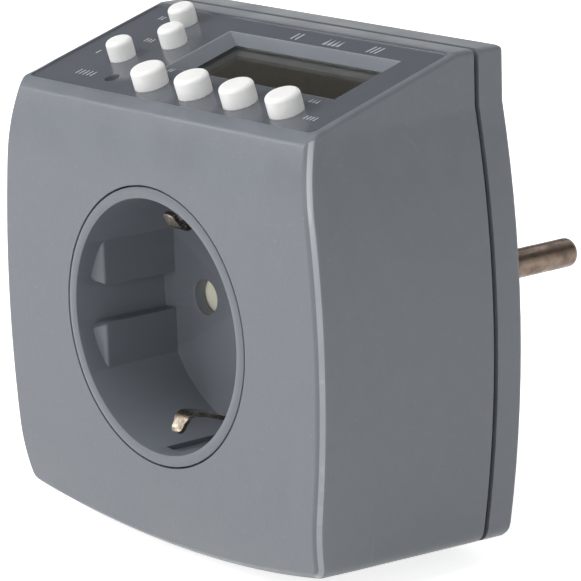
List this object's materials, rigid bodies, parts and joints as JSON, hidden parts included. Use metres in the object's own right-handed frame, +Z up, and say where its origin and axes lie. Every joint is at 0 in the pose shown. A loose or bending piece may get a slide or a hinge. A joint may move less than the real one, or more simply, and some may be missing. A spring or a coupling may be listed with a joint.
{
  "type": "plug in timer switch",
  "caption": "Plug in digital timer switch: an earthed socket on the front, a plug on the back and a sloped clock panel with push buttons and a display on top.",
  "frame": {"origin": "centre of the end face of the round plug boss, on the axis of the boss and the socket", "axes": "+Y runs along the plug axis into the wall outlet, +Z is up towards the sloped control panel, +X is to the right as seen from the front"},
  "size_m": [0.0788, 0.0788, 0.0823],
  "materials": {
    "housing": "fine spark texture, satin",
    "carrier": "satin",
    "shutter": "gloss",
    "steel": "zinc plated",
    "nickel": "nickel plated",
    "brass": "bright",
    "pin": "tarnished nickel plate",
    "lens": "clear",
    "lcd": "dark olive display",
    "rubber": "matt",
    "board": "solder mask",
    "silicone": "matt",
    "key": "satin white",
    "black": "moulded",
    "cable": "flat cable",
    "power_board": "paper laminate",
    "relay_blue": "satin",
    "winding": "enamelled wire",
    "capacitor": "moulded box",
    "sleeve": "shrink sleeve",
    "varistor": "epoxy dip"
  },
  "bodies": {
    "housing": {"front_housing": "housing", "rear_cover": "housing", "socket_well": "housing", "contact_carrier": "carrier", "shutter_spring": "steel", "socket_earth_bracket": "nickel", "plug_earth_strip": "nickel", "line_socket_contact": "brass", "neutral_socket_contact": "brass", "line_pin": "pin", "neutral_pin": "pin", "line_busbar": "brass", "neutral_busbar": "brass", "window_lens": "lens", "lcd_glass": "lcd", "lcd_holder": "carrier", "contact_rubbers": "rubber", "control_board": "board", "keypad_mat": "silicone", "reset_switch": "black", "clock_chip": "black", "backup_battery": "steel", "ribbon_cable": "cable", "power_board": "power_board", "relay_base": "black", "relay_cover": "relay_blue", "relay_coil": "winding", "relay_yoke": "steel", "dropper_capacitor": "capacitor", "smoothing_capacitor": "sleeve", "surge_varistor": "varistor", "housing_screws": "steel", "board_screws": "steel"},
    "clock_button": {"clock_button": "key"},
    "day_button": {"day_button": "key"},
    "hour_button": {"hour_button": "key"},
    "minute_button": {"minute_button": "key"},
    "mode_button": {"mode_button": "key"},
    "program_button": {"program_button": "key"},
    "random_button": {"random_button": "key"},
    "reset_button": {"reset_button": "key"},
    "safety_shutter": {"safety_shutter": "shutter"},
    "relay_armature": {"relay_armature": "steel"}
  },
  "joints": [
    {"name": "clock_button_press", "type": "slide", "parent": "housing", "child": "clock_button", "axis": [0, 0.2855, -0.9584], "range_m": [0, 0.0008], "stiffness_N_per_m": 400},
    {"name": "day_button_press", "type": "slide", "parent": "housing", "child": "day_button", "axis": [0, 0.2855, -0.9584], "range_m": [0, 0.0008], "stiffness_N_per_m": 400},
    {"name": "hour_button_press", "type": "slide", "parent": "housing", "child": "hour_button", "axis": [0, 0.2855, -0.9584], "range_m": [0, 0.0008], "stiffness_N_per_m": 400},
    {"name": "minute_button_press", "type": "slide", "parent": "housing", "child": "minute_button", "axis": [0, 0.2855, -0.9584], "range_m": [0, 0.0008], "stiffness_N_per_m": 400},
    {"name": "mode_button_press", "type": "slide", "parent": "housing", "child": "mode_button", "axis": [0, 0.2855, -0.9584], "range_m": [0, 0.0008], "stiffness_N_per_m": 400},
    {"name": "program_button_press", "type": "slide", "parent": "housing", "child": "program_button", "axis": [0, 0.2855, -0.9584], "range_m": [0, 0.0008], "stiffness_N_per_m": 400},
    {"name": "random_button_press", "type": "slide", "parent": "housing", "child": "random_button", "axis": [0, 0.2855, -0.9584], "range_m": [0, 0.0008], "stiffness_N_per_m": 400},
    {"name": "reset_press", "type": "slide", "parent": "housing", "child": "reset_button", "axis": [0, 0.2855, -0.9584], "range_m": [0, 0.0004], "stiffness_N_per_m": 400},
    {"name": "shutter_turn", "type": "hinge", "parent": "housing", "child": "safety_shutter", "pos_m": [0, -0.0391, 0], "axis": [0, 1, 0], "range_deg": [0, 45], "stiffness_Nm_per_rad": 0.004},
    {"name": "armature_rock", "type": "hinge", "parent": "housing", "child": "relay_armature", "pos_m": [0.02865, -0.0336, -0.0071], "axis": [1, 0, 0], "range_deg": [0, 4.4], "stiffness_Nm_per_rad": 0.05}
  ]
}
